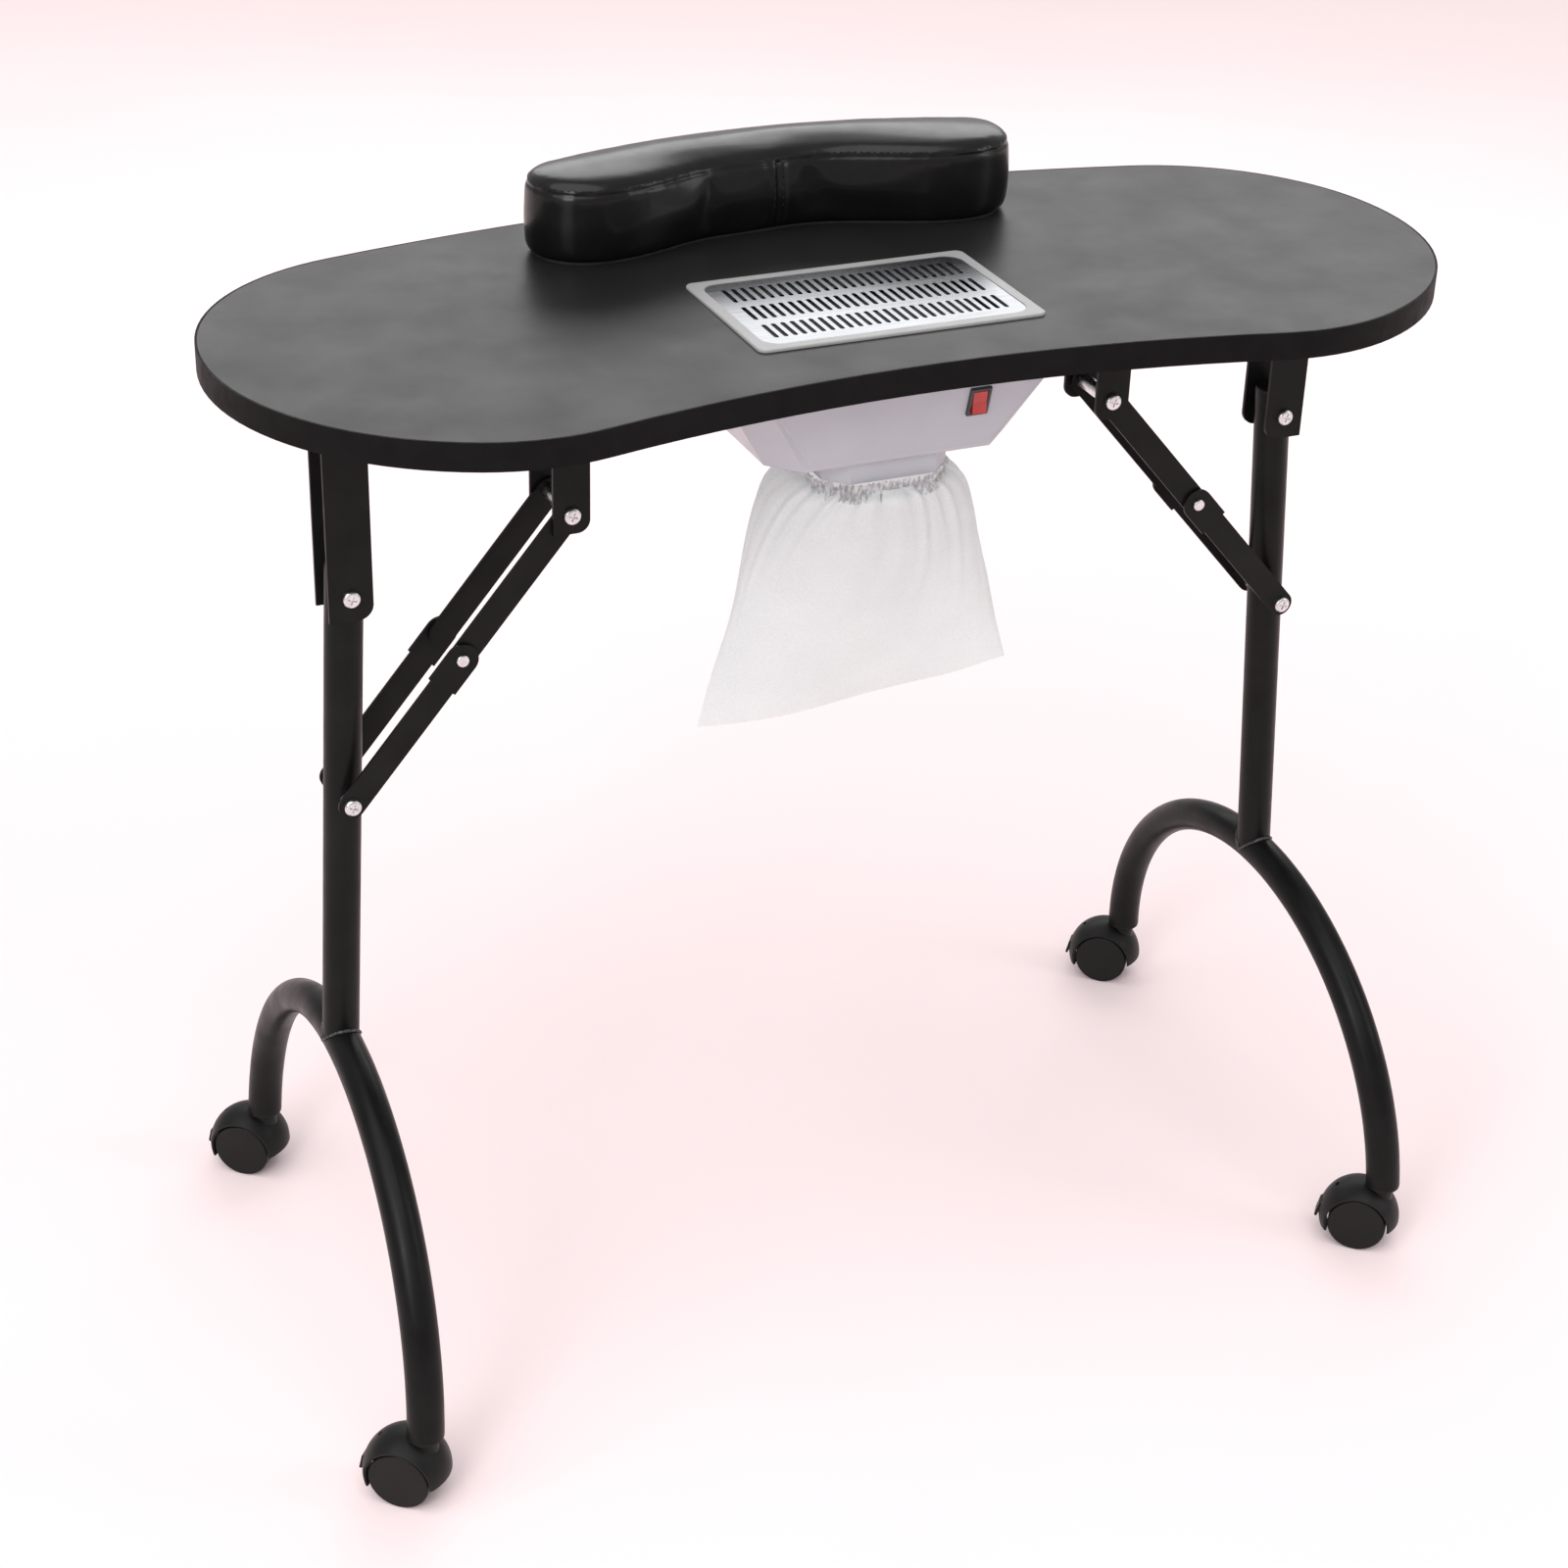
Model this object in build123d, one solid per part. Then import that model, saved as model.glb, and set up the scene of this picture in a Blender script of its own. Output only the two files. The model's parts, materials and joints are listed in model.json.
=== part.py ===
from build123d import *
import math
import os

# Folding manicure table: kidney-shaped top with a dust extractor and wrist rest, on two
# arch-footed legs that fold flat under the top. Millimetres, +Z up. The model is drawn with
# y = 0 in the plane of the leg posts, then moved so that the origin is at the bottom centre.

# ---- driving dimensions: tabletop -------------------------------------------------------
TOP_HEIGHT = 737.0           # floor to writing surface
BOARD_THICKNESS = 18.0
EDGE_BAND_THICKNESS = 1.6
TOP_FRONT_Y = -147.0         # middle of the concave front edge
TOP_OUTLINE_ARCS = [         # radius and turn in degrees, from the front middle to the back
    (970.0, -13.4),          # concave front, where the technician sits
    (134.0, 33.6),           # front corner of the lobe
    (178.0, 81.9),           # end of the lobe
    (154.0, 65.4),           # back corner of the lobe
]

# ---- dust extractor ---------------------------------------------------------------------
VENT_SIZE = (198.0, 125.0)
VENT_CENTRE_Y = -33.5
VENT_FRAME_WIDTH = 9.0
VENT_FRAME_RISE = 1.8
GRILLE_THICKNESS = 1.0
GRILLE_RECESS = 0.4          # below the frame's top
SLOT_ROWS = 3
SLOTS_PER_ROW = 26
SLOT_SIZE = (3.2, 23.0)
SLOT_PITCH = (6.36, 32.2)
HOUSING_CENTRE_Y = -38.0
HOUSING_TOP_HALF = (126.0, 72.0)
HOUSING_BOTTOM_HALF = (84.0, 54.0)
HOUSING_DEPTH = 68.0
HOUSING_CHAMFER = 20.0
HOUSING_WALL = 2.4
PANEL_RISE = 1.6             # raised panel on the housing's front
COLLAR_HALF = 44.0
COLLAR_CHAMFER = 14.0
COLLAR_BOTTOM_Z = 636.0
COLLAR_CENTRE_Y = -42.0
FAN_SIZE = 80.0
FAN_DEPTH = 25.0
FAN_BORE_R = 38.0
FAN_HUB_R = 17.0
FAN_SHAFT_R = 2.0
FAN_SCREW_PITCH = 71.5
FAN_FLANGE = 4.0             # thickness of the frame's square ends
BLADES = 7
SWITCH_X = 48.5
SWITCH_Z = 690.0
SWITCH_SIZE = (15.0, 21.0)
ROCKER_AXIS_DEPTH = -1.2

# ---- dust bag ---------------------------------------------------------------------------
BAG_NECK_R = 46.0
BAG_SHOULDER = (68.0, 54.0)
BAG_FOOT = (114.0, 9.0)
BAG_LENGTH = 176.0
HEM_HEIGHT = 9.5
HEM_DROP = 9.0               # hangs this far below the collar

# ---- wrist rest -------------------------------------------------------------------------
REST_OUTLINE = [              # right half in plan, from the front middle to the back middle
    (0.0, 104.0), (58.0, 97.0), (88.0, 86.0), (118.0, 78.0), (148.0, 80.0), (168.0, 94.0),
    (175.5, 118.0), (168.0, 137.0), (146.0, 149.0), (108.0, 160.0), (56.0, 169.0), (0.0, 172.0),
]
REST_HEIGHT = 57.0
REST_BASE_THICKNESS = 5.0
REST_BASE_INSET = 7.0

# ---- legs -------------------------------------------------------------------------------
TUBE_R = 12.5
TUBE_WALL = 1.2
PIVOT_X = 339.0
PIVOT_Z = {"left": 576.3, "right": 603.3}     # one tube apart, so the legs fold flat together
POST_ABOVE_PIVOT = 16.0
ARCH_R = 198.0
ARCH_CENTRE_Z = 43.0
FOOT_Z = 54.0
PLUG_DEPTH = 9.0             # how far a foot plug reaches into the curved tube
PLUG_CLEARANCE = 1.6

# ---- braces -----------------------------------------------------------------------------
BRACE_TOP_X = 194.6
BRACE_TOP_RISE = {"left": 37.4, "right": 34.2}    # top pivot above the leg pivot
BRACE_LOW_DISTANCE = 145.0                        # along the leg, from the leg pivot
UPPER_LINK = 117.0
LOWER_LINK = 120.0
LINK_WIDTH = 18.0
LINK_HEAD_WIDTH = 22.0
LINK_THICKNESS = 2.2

# ---- layers, as distances from the post plane -------------------------------------------
BRACKET_PLATE = (13.5, 16.0)
UPPER_LINK_LAYER = (18.0, 20.2)
LOWER_LINK_LAYER = (20.5, 22.7)
BRACE_PLATE = (20.5, 23.0)

# ---- brackets and fasteners -------------------------------------------------------------
PIVOT_BRACKET_WIDTH = 29.0
BRACE_BRACKET_WIDTH = 25.0
FLANGE_THICKNESS = 2.5
BOLT_R = 3.0
HEAD_R = 5.8
HEAD_HEIGHT = 3.4
RUNNING_GAP = 0.05
SCREW_R = 1.8
SCREW_HEAD_R = 3.6
SCREW_HEAD_HEIGHT = 2.2

# ---- casters ----------------------------------------------------------------------------
WHEEL_R = 21.5
WHEEL_WIDTH = 14.0
WHEEL_INNER_Y = 3.2
TRAIL = 14.0
CASTER_HEADING = 140.0       # direction the wheels trail, degrees from +X
HOOD_RIM_R = 24.2            # about the axle, at the wheels' outer faces
HOOD_CROWN_R = 29.8          # about the axle, over the middle web
HOOD_HALF_WIDTH = 17.6
HOOD_SKIRT = (5.0, 9.5)      # cut below the axle, and its slope down to the trailing side
POCKET_GAP = 1.3             # between a wheel and its pocket
STEM_R = 5.0
STEM_BOTTOM_Z = 41.5
STEM_BOSS = (8.5, 50.0)      # radius and top of the hood's boss round the stem
AXLE_R = 2.5
LEVER_PIVOT = (38.6, 26.5)   # behind the stem, and above the floor
LEVER_PIN_R = 1.5
LEVER_HALF_WIDTH = 6.0

UNDERSIDE = TOP_HEIGHT - BOARD_THICKNESS
SIDES = {"left": -1, "right": 1}


def leg_lean(side):
    """Outward lean of a leg in degrees, set by the straight brace between its two bolts."""
    inward = PIVOT_X - BRACE_TOP_X
    rise = BRACE_TOP_RISE[side]
    to_top = math.hypot(inward, rise)
    straight = UPPER_LINK + LOWER_LINK
    cosine = (to_top**2 + BRACE_LOW_DISTANCE**2 - straight**2) / (2 * to_top * BRACE_LOW_DISTANCE)
    corner = math.degrees(math.acos(cosine))
    return corner - math.degrees(math.atan2(rise, inward)) - 90.0


def leg_place(side):
    """Places a leg drawn with its pivot at the origin and its post down -Z."""
    lean = SIDES[side] * leg_lean(side)
    return Pos(SIDES[side] * PIVOT_X, 0, PIVOT_Z[side]) * Rot(0, -lean, 0)


def brace_points(side):
    """Top, middle and low pivots of a brace as (x, z), with the brace straight."""
    lean = math.radians(leg_lean(side))
    sign = SIDES[side]
    top = (sign * BRACE_TOP_X, PIVOT_Z[side] + BRACE_TOP_RISE[side])
    low = (
        sign * (PIVOT_X + BRACE_LOW_DISTANCE * math.sin(lean)),
        PIVOT_Z[side] - BRACE_LOW_DISTANCE * math.cos(lean),
    )
    share = UPPER_LINK / (UPPER_LINK + LOWER_LINK)
    middle = (top[0] + share * (low[0] - top[0]), top[1] + share * (low[1] - top[1]))
    return top, middle, low


def stem_point(side, end):
    """Plan position of a caster's swivel axis; end is -1 for the front and 1 for the back."""
    lean = math.radians(leg_lean(side))
    spread = (PIVOT_Z[side] - FOOT_Z) * math.tan(lean)
    rise = (FOOT_Z - ARCH_CENTRE_Z) / math.cos(lean)
    return SIDES[side] * (PIVOT_X + spread), end * math.sqrt(ARCH_R**2 - rise**2)


def rod_y(x, z, y0, y1, radius):
    """Solid cylinder along Y between two y values."""
    return Pos(x, (y0 + y1) / 2, z) * Rot(90, 0, 0) * Cylinder(radius, abs(y1 - y0))


def both_sides(solid):
    """A solid and its mirror image across the post plane."""
    return [solid, mirror(solid, Plane.XZ)]


def plate_y(outline, layer):
    """Extrudes an outline drawn as (x, z) points or a face over a layer along +Y."""
    sheet = Plane.XZ * outline
    return Pos(0, layer[0], 0) * extrude(sheet, amount=-(layer[1] - layer[0]))


def link_outline(start, end, start_width, end_width):
    """Flat link with round ends, its body the narrower of the two widths."""
    body_width = min(start_width, end_width)
    run = math.hypot(end[0] - start[0], end[1] - start[1])
    angle = math.degrees(math.atan2(end[1] - start[1], end[0] - start[0]))
    bar = Pos(run / 2, 0) * Rectangle(run, body_width)
    bar += Circle(start_width / 2)
    bar += Pos(run, 0) * Circle(end_width / 2)
    if start_width > body_width:
        bar += Pos(start_width / 2, 0) * Rectangle(start_width, start_width)
    return Pos(start[0], start[1]) * Rot(0, 0, angle) * bar


def pan_head(x, z, y, radius=HEAD_R, height=HEAD_HEIGHT, recess=True):
    """Domed screw head standing out along -Y from the face at y, with a cross recess."""
    head = rod_y(x, z, y - height, y, radius)
    head = fillet(head.edges().sort_by(Axis.Y)[0], height * 0.6)
    if recess:
        for angle in (20, 110):
            cross = Box(radius * 1.05, 2.4, 1.2)
            head -= Pos(x, y - height, z) * Rot(0, angle, 0) * cross
    return head


def through_bolt(x, z, reach, radius=BOLT_R, head_radius=HEAD_R):
    """Bolt along Y with a domed head on each side of the layers that it clamps."""
    bolt = rod_y(x, z, -reach, reach, radius)
    head = pan_head(x, z, -reach, head_radius)
    return bolt + head + mirror(head, Plane.XZ)


# ---- tabletop ---------------------------------------------------------------------------
def arc_run(start, heading, radius, turn):
    """Arc that leaves start along heading and turns by turn (radians, left is positive)."""
    side = math.copysign(1, turn)
    centre_x = start[0] - side * radius * math.sin(heading)
    centre_y = start[1] + side * radius * math.cos(heading)

    def at(angle):
        x = centre_x + side * radius * math.sin(heading + angle)
        y = centre_y - side * radius * math.cos(heading + angle)
        return x, y

    return ThreePointArc(start, at(turn / 2), at(turn)), at(turn), heading + turn


def tabletop_face():
    """Kidney outline, symmetric in X; its last arc closes on the centre line."""
    point = (0.0, TOP_FRONT_Y)
    heading = 0.0
    edges = []
    for radius, turn in TOP_OUTLINE_ARCS:
        edge, point, heading = arc_run(point, heading, radius, math.radians(turn))
        edges.append(edge)
    closing_turn = math.pi - heading
    closing_radius = point[0] / math.sin(closing_turn)
    edge, point, heading = arc_run(point, heading, closing_radius, closing_turn)
    edges.append(edge)
    edges += [mirror(edge, Plane.YZ) for edge in edges]
    return make_face(edges)


def make_tabletop():
    outline = tabletop_face()
    core = offset(outline, -EDGE_BAND_THICKNESS)
    cut_out = (VENT_SIZE[0] - 2 * VENT_FRAME_WIDTH, VENT_SIZE[1] - 2 * VENT_FRAME_WIDTH)
    board = extrude(core, amount=BOARD_THICKNESS)
    board -= Pos(0, VENT_CENTRE_Y, BOARD_THICKNESS / 2) * Box(*cut_out, 2 * BOARD_THICKNESS)
    band = extrude(outline, amount=BOARD_THICKNESS) - extrude(core, amount=BOARD_THICKNESS)
    return Pos(0, 0, UNDERSIDE) * board, Pos(0, 0, UNDERSIDE) * band


# ---- dust extractor ---------------------------------------------------------------------
def octagon(half_x, half_y, chamfer_size):
    """Rectangle with its corners cut off at 45 degrees."""
    inner_x = half_x - chamfer_size
    inner_y = half_y - chamfer_size
    return make_face(Polyline(
        (-inner_x, -half_y), (inner_x, -half_y), (half_x, -inner_y), (half_x, inner_y),
        (inner_x, half_y), (-inner_x, half_y), (-half_x, inner_y), (-half_x, -inner_y),
        close=True,
    ))


def hopper(shrink, top_z, bottom_z):
    """Eight-sided tapered body of the housing, drawn in by shrink on every side."""
    top = octagon(HOUSING_TOP_HALF[0] - shrink, HOUSING_TOP_HALF[1] - shrink, HOUSING_CHAMFER)
    low = octagon(HOUSING_BOTTOM_HALF[0] - shrink, HOUSING_BOTTOM_HALF[1] - shrink, HOUSING_CHAMFER)
    return loft([Pos(0, HOUSING_CENTRE_Y, bottom_z) * low, Pos(0, HOUSING_CENTRE_Y, top_z) * top])


def housing_front_plane():
    """Plane of the housing's sloping front face, its origin at mid height."""
    bottom_z = UNDERSIDE - HOUSING_DEPTH
    slope = math.atan2(HOUSING_TOP_HALF[1] - HOUSING_BOTTOM_HALF[1], HOUSING_DEPTH)
    mid_y = HOUSING_CENTRE_Y - (HOUSING_TOP_HALF[1] + HOUSING_BOTTOM_HALF[1]) / 2
    normal = Vector(0, -math.cos(slope), -math.sin(slope))
    origin = (0, mid_y, (UNDERSIDE + bottom_z) / 2)
    return Plane(origin=origin, x_dir=(1, 0, 0), z_dir=normal), slope


def switch_centre():
    """Height of the switch measured up the sloping front face from its middle."""
    plane, slope = housing_front_plane()
    return (SWITCH_Z - plane.origin.Z) / math.cos(slope)


def make_housing():
    bottom_z = UNDERSIDE - HOUSING_DEPTH
    shell = hopper(0, UNDERSIDE, bottom_z)
    shell = fillet(shell.edges().group_by(Axis.Z)[0], 4)
    plane, slope = housing_front_plane()
    half = HOUSING_DEPTH / math.cos(slope) / 2
    low_x = HOUSING_BOTTOM_HALF[0] - HOUSING_CHAMFER
    top_x = HOUSING_TOP_HALF[0] - HOUSING_CHAMFER
    panel = make_face(Polyline(
        (-low_x, -half + 6), (low_x, -half + 6), (top_x - 2, half), (-top_x + 2, half), close=True,
    ))
    raised = extrude(plane * panel, amount=PANEL_RISE, taper=35)
    collar_height = bottom_z - COLLAR_BOTTOM_Z
    collar = extrude(octagon(COLLAR_HALF, COLLAR_HALF, COLLAR_CHAMFER), amount=collar_height + 3)
    shell += Pos(0, COLLAR_CENTRE_Y, COLLAR_BOTTOM_Z) * collar
    shell += raised
    flange = Pos(0, HOUSING_CENTRE_Y, UNDERSIDE - 3) * extrude(
        octagon(HOUSING_TOP_HALF[0] + 12, HOUSING_TOP_HALF[1] + 6, HOUSING_CHAMFER), amount=3
    )
    shell += flange
    shell -= hopper(HOUSING_WALL, UNDERSIDE + 0.5, bottom_z + HOUSING_WALL)
    throat = COLLAR_HALF - HOUSING_WALL
    bore = extrude(octagon(throat, throat, COLLAR_CHAMFER - 1), amount=collar_height + 8)
    shell -= Pos(0, COLLAR_CENTRE_Y, COLLAR_BOTTOM_Z - 1) * bore
    hole = Pos(SWITCH_X, switch_centre()) * Rectangle(SWITCH_SIZE[0] - 2, SWITCH_SIZE[1] - 2)
    shell -= extrude(plane * hole, amount=8, both=True)
    for x, y in housing_screw_points():
        shell -= Pos(x, y, UNDERSIDE) * Cylinder(SCREW_R, 20)
    shell -= inlet_place() * Cylinder(5.0, 20)
    return shell


def housing_screw_points():
    """Screw places on the housing's flange, one near each end."""
    x = HOUSING_TOP_HALF[0] + 6.5
    return [(sx * x, HOUSING_CENTRE_Y + dy) for sx in (-1, 1) for dy in (-32, 32)]


def wood_screw(x, y, z):
    """Screw driven up into the board, its flat head under the sheet at z."""
    head = Pos(x, y, z - SCREW_HEAD_HEIGHT / 2) * Cylinder(SCREW_HEAD_R, SCREW_HEAD_HEIGHT)
    head = fillet(head.edges().group_by(Axis.Z)[0], 1.2)
    slot_a = Pos(x, y, z - SCREW_HEAD_HEIGHT) * Box(4.0, 0.9, 1.4)
    slot_b = Pos(x, y, z - SCREW_HEAD_HEIGHT) * Box(0.9, 4.0, 1.4)
    shank = Pos(x, y, (z + UNDERSIDE) / 2) * Cylinder(SCREW_R, UNDERSIDE - z)
    return head - slot_a - slot_b + shank


def make_vent():
    """Frame that drops into the board's cut-out, and the slotted plate that it carries."""
    outer = RectangleRounded(*VENT_SIZE, 6)
    opening = (VENT_SIZE[0] - 2 * VENT_FRAME_WIDTH, VENT_SIZE[1] - 2 * VENT_FRAME_WIDTH)
    inner = RectangleRounded(opening[0] - 3, opening[1] - 3, 10)
    frame = extrude(outer, amount=VENT_FRAME_RISE)
    frame = fillet(frame.faces().sort_by(Axis.Z)[-1].edges(), 1.0)
    skirt = Pos(0, 0, -10) * extrude(Rectangle(opening[0] - 0.4, opening[1] - 0.4), amount=10)
    frame = frame + skirt - Pos(0, 0, -11) * extrude(inner, amount=20)
    seat = RectangleRounded(opening[0] + 3, opening[1] + 3, 12)
    seat_z = VENT_FRAME_RISE - GRILLE_RECESS - GRILLE_THICKNESS
    frame -= Pos(0, 0, seat_z) * extrude(seat, amount=5)
    plate = extrude(RectangleRounded(opening[0] + 2.8, opening[1] + 2.8, 12), amount=GRILLE_THICKNESS)
    slots = Sketch() + [
        place * SlotOverall(SLOT_SIZE[1], SLOT_SIZE[0], rotation=90)
        for place in GridLocations(*SLOT_PITCH, SLOTS_PER_ROW, SLOT_ROWS)
    ]
    plate -= extrude(slots, amount=GRILLE_THICKNESS * 2)
    base = Pos(0, VENT_CENTRE_Y, TOP_HEIGHT)
    return base * frame, base * Pos(0, 0, seat_z) * plate


def fan_base():
    """Middle of the fan's outlet face, on the floor of the housing."""
    return Pos(0, COLLAR_CENTRE_Y, UNDERSIDE - HOUSING_DEPTH + HOUSING_WALL)


def make_fan():
    """Square fan frame with its spider, the motor on the spider, and the impeller."""
    frame = extrude(RectangleRounded(FAN_SIZE, FAN_SIZE, 4), amount=FAN_DEPTH)
    frame -= Cylinder(FAN_BORE_R, 4 * FAN_DEPTH)
    screw_places = GridLocations(FAN_SCREW_PITCH, FAN_SCREW_PITCH, 2, 2).locations
    waist_height = FAN_DEPTH - 2 * FAN_FLANGE
    waist = extrude(Rectangle(FAN_SIZE + 1, FAN_SIZE + 1) - Circle(FAN_BORE_R + 1.6), amount=waist_height)
    corners = Sketch() + [place * Circle(6) for place in screw_places]
    frame -= Pos(0, 0, FAN_FLANGE) * (waist - extrude(corners, amount=FAN_DEPTH))
    for place in screw_places:
        frame -= place * Cylinder(2.15, 4 * FAN_DEPTH)
    spider = extrude(Circle(FAN_HUB_R - 1), amount=2)
    for place in PolarLocations(0, 4, start_angle=20):
        spider += place * (Pos(FAN_BORE_R / 2 + 5, 0, 1) * Box(FAN_BORE_R - 4, 3.2, 2))
    frame += spider
    motor = Pos(0, 0, 2) * extrude(Circle(11), amount=12) + Pos(0, 0, 2) * extrude(
        Circle(FAN_SHAFT_R), amount=20
    )
    cup = Pos(0, 0, 3.2) * extrude(Circle(FAN_HUB_R), amount=20.3)
    cup -= Pos(0, 0, 3) * extrude(Circle(FAN_HUB_R - 1.5), amount=17)
    cup -= Pos(0, 0, 3) * extrude(Circle(FAN_SHAFT_R + RUNNING_GAP), amount=19.5)
    sleeve = Pos(0, 0, 15) * extrude(Circle(5) - Circle(FAN_SHAFT_R + RUNNING_GAP), amount=6)
    impeller = cup + sleeve
    blade_root = FAN_HUB_R - 0.8
    blade_tip = FAN_BORE_R - 1.2
    blade = Pos((blade_root + blade_tip) / 2, 0, 13) * Rot(48, 0, 0) * Box(blade_tip - blade_root, 1.4, 22)
    trim = extrude(Circle(blade_tip), amount=20)
    blade = blade & (Pos(0, 0, 3.4) * trim)
    for place in PolarLocations(0, BLADES):
        impeller += place * blade
    base = fan_base()
    return base * frame, base * motor, base * impeller


def make_switch():
    """Rocker switch in the housing's front: black bezel and the rocker that tips in it."""
    plane, _ = housing_front_plane()
    place = plane.location * Pos(SWITCH_X, switch_centre(), PANEL_RISE)
    width, height = SWITCH_SIZE
    bezel = extrude(RectangleRounded(width, height, 1.0), amount=2.0)
    bezel = chamfer(bezel.faces().sort_by(Axis.Z)[-1].edges(), 0.6)
    body = Pos(0, 0, -9) * extrude(Rectangle(width - 2.2, height - 2.2), amount=9)
    well = Pos(0, 0, -7.5) * extrude(Rectangle(width - 4.6, height - 4.4), amount=12)
    bezel = bezel + body - well
    half = (height - 6.2) / 2
    side = make_face(Polyline(
        (-half, -1.0), (half, -1.0), (half, 1.4), (0, 2.0), (-half, 4.2), close=True,
    ))
    rocker = extrude(Plane.YZ * side, amount=(width - 5.4) / 2, both=True)
    rocker += Pos(0, 0, ROCKER_AXIS_DEPTH) * Rot(0, 90, 0) * Cylinder(1.6, width - 5.4)
    return place * bezel, place * rocker


def rocker_axis():
    """Point on the rocker's tipping axis, which runs along X."""
    plane, _ = housing_front_plane()
    return (plane.location * Pos(SWITCH_X, switch_centre(), PANEL_RISE + ROCKER_AXIS_DEPTH)).position


def inlet_place():
    """Place of the power inlet on the housing's back wall, its +Z pointing out."""
    plane, _ = housing_front_plane()
    back = plane.location.position
    out_y = 2 * HOUSING_CENTRE_Y - back.Y
    slope = math.degrees(math.atan2(HOUSING_TOP_HALF[1] - HOUSING_BOTTOM_HALF[1], HOUSING_DEPTH))
    return Pos(-52, out_y, back.Z) * Rot(-90 - slope, 0, 0)


def make_inlet():
    """Round low-voltage power inlet with a centre pin."""
    body = Pos(0, 0, -10) * extrude(Circle(5.0), amount=10)
    nose = extrude(Circle(7.0), amount=2.0)
    nose = fillet(nose.edges().sort_by(Axis.Z)[-1], 0.8)
    inlet = body + nose
    inlet -= Pos(0, 0, -8) * extrude(Circle(3.2), amount=12)
    inlet += Pos(0, 0, -9) * extrude(Circle(1.0), amount=9)
    return inlet_place() * inlet


# ---- soft parts -------------------------------------------------------------------------
def make_bag():
    """Dust bag as one closed body, round at the neck and flat along the bottom seam."""
    top_z = COLLAR_BOTTOM_Z - HEM_DROP - 0.6
    levels = [
        (0.0, BAG_NECK_R - 1.0, BAG_NECK_R - 1.0),
        (12.0, *BAG_SHOULDER),
        (BAG_LENGTH * 0.45, BAG_SHOULDER[0] + 18, BAG_SHOULDER[1] - 14),
        (BAG_LENGTH, *BAG_FOOT),
    ]
    rings = [Pos(0, COLLAR_CENTRE_Y, top_z - drop) * Ellipse(rx, ry) for drop, rx, ry in levels]
    return loft(rings)


def make_elastic():
    """Elastic hem that grips the collar's lower rim."""
    hem = octagon(COLLAR_HALF + 3.2, COLLAR_HALF + 3.2, COLLAR_CHAMFER + 1)
    hem -= octagon(COLLAR_HALF + 0.05, COLLAR_HALF + 0.05, COLLAR_CHAMFER)
    return Pos(0, COLLAR_CENTRE_Y, COLLAR_BOTTOM_Z - HEM_DROP) * extrude(hem, amount=HEM_HEIGHT)


def rest_face(inset):
    """Kidney outline of the wrist rest, drawn in by inset."""
    points = REST_OUTLINE + [(-x, y) for x, y in REST_OUTLINE[-2:0:-1]]
    inner = []
    for i, (x, y) in enumerate(points):
        before, after = points[i - 1], points[(i + 1) % len(points)]
        along_x, along_y = after[0] - before[0], after[1] - before[1]
        length = math.hypot(along_x, along_y)
        inner.append((x - inset * along_y / length, y + inset * along_x / length))
    return make_face(Spline(*inner, periodic=True))


def make_wrist_rest():
    """Cushion and the board under it."""
    base = extrude(rest_face(REST_BASE_INSET), amount=REST_BASE_THICKNESS)
    pad = extrude(rest_face(0), amount=REST_HEIGHT - REST_BASE_THICKNESS)
    pad = fillet(pad.faces().sort_by(Axis.Z)[-1].edges(), 7)
    return Pos(0, 0, TOP_HEIGHT + REST_BASE_THICKNESS) * pad, Pos(0, 0, TOP_HEIGHT) * base


# ---- brackets ---------------------------------------------------------------------------
def bracket(x, pivot_z, width, layer, tail, corner_side):
    """Inverted U of two plates hung from a screwed flange, bored at the pivot."""
    bottom = pivot_z - tail
    half = width / 2
    outline = Pos(x, (bottom + UNDERSIDE) / 2) * Rectangle(width, UNDERSIDE - bottom)
    low_corners = outline.vertices().sort_by(Axis.Y)[0:2].sort_by(Axis.X)
    if corner_side < 0:
        low_corners = low_corners[::-1]
    outline = fillet(low_corners[0], half * 0.7)
    outline -= Pos(x, pivot_z) * Circle(BOLT_R)
    plate = plate_y(outline, layer)
    depth = 2 * layer[1]
    top = Pos(x, 0, UNDERSIDE - FLANGE_THICKNESS / 2) * Box(width + 30, depth, FLANGE_THICKNESS)
    solid = top + both_sides(plate)
    for place in bracket_screw_points(x, width):
        solid -= Pos(place[0], place[1], UNDERSIDE) * Cylinder(SCREW_R, 20)
    return solid


def bracket_screw_points(x, width):
    """Screw places on a bracket's flange, one each side of the plates."""
    reach = width / 2 + 8
    return [(x - reach, -8), (x - reach, 8), (x + reach, -8), (x + reach, 8)]


# ---- legs -------------------------------------------------------------------------------
def make_leg(side):
    """Post and arch of one leg, coped together, both hollow tube."""
    lean = math.radians(leg_lean(side))
    drop = (PIVOT_Z[side] - ARCH_CENTRE_Z) / math.cos(lean)
    ring = Pos(0, 0, -drop) * Rot(0, 90, 0) * Torus(ARCH_R, TUBE_R)
    hollow = Pos(0, 0, -drop) * Rot(0, 90, 0) * Torus(ARCH_R, TUBE_R - TUBE_WALL)
    place = leg_place(side)
    above_feet = Pos(SIDES[side] * PIVOT_X, 0, FOOT_Z + 300) * Box(400, 600, 600)
    arch = (place * (ring - hollow)) & above_feet
    length = POST_ABOVE_PIVOT + drop - ARCH_R
    post = Pos(0, 0, POST_ABOVE_PIVOT - length / 2) * Cylinder(TUBE_R, length)
    post -= Pos(0, 0, POST_ABOVE_PIVOT - length / 2) * Cylinder(TUBE_R - TUBE_WALL, length + 2)
    post -= ring
    post -= rod_y(0, 0, -20, 20, BOLT_R + RUNNING_GAP)
    post -= rod_y(0, -BRACE_LOW_DISTANCE, -20, 20, BOLT_R)
    return place * post, arch


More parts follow.
